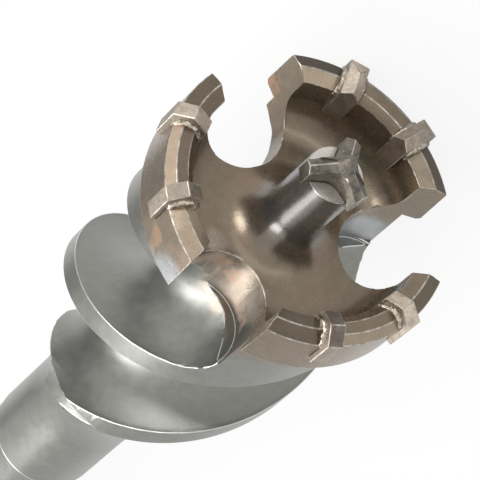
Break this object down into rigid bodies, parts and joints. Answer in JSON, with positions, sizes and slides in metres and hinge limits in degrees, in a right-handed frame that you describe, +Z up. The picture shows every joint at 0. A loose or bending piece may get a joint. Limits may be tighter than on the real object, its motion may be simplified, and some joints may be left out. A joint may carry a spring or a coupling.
{
  "type": "hammer drill bit",
  "caption": "Long rotary hammer drill bit with a hollow winged cutter head, carbide teeth, a winged pilot tip, a short dust helix and a grooved hammer shank.",
  "frame": {"origin": "centre of the bounding box, at the surface that the bit lies on", "axes": "+X along the bit towards the pilot tip, +Z up from the surface"},
  "size_m": [0.6, 0.0542, 0.0522],
  "materials": {
    "head_steel": "heat tinted satin",
    "shaft_steel": "satin",
    "carbide": "grainy matt"
  },
  "bodies": {
    "root": {"cutter_body": "head_steel", "drive_shaft": "shaft_steel", "tooth_1": "carbide", "tooth_2": "carbide", "tooth_3": "carbide", "tooth_4": "carbide", "tooth_5": "carbide", "tooth_6": "carbide", "pilot_tip": "carbide"}
  },
  "joints": []
}
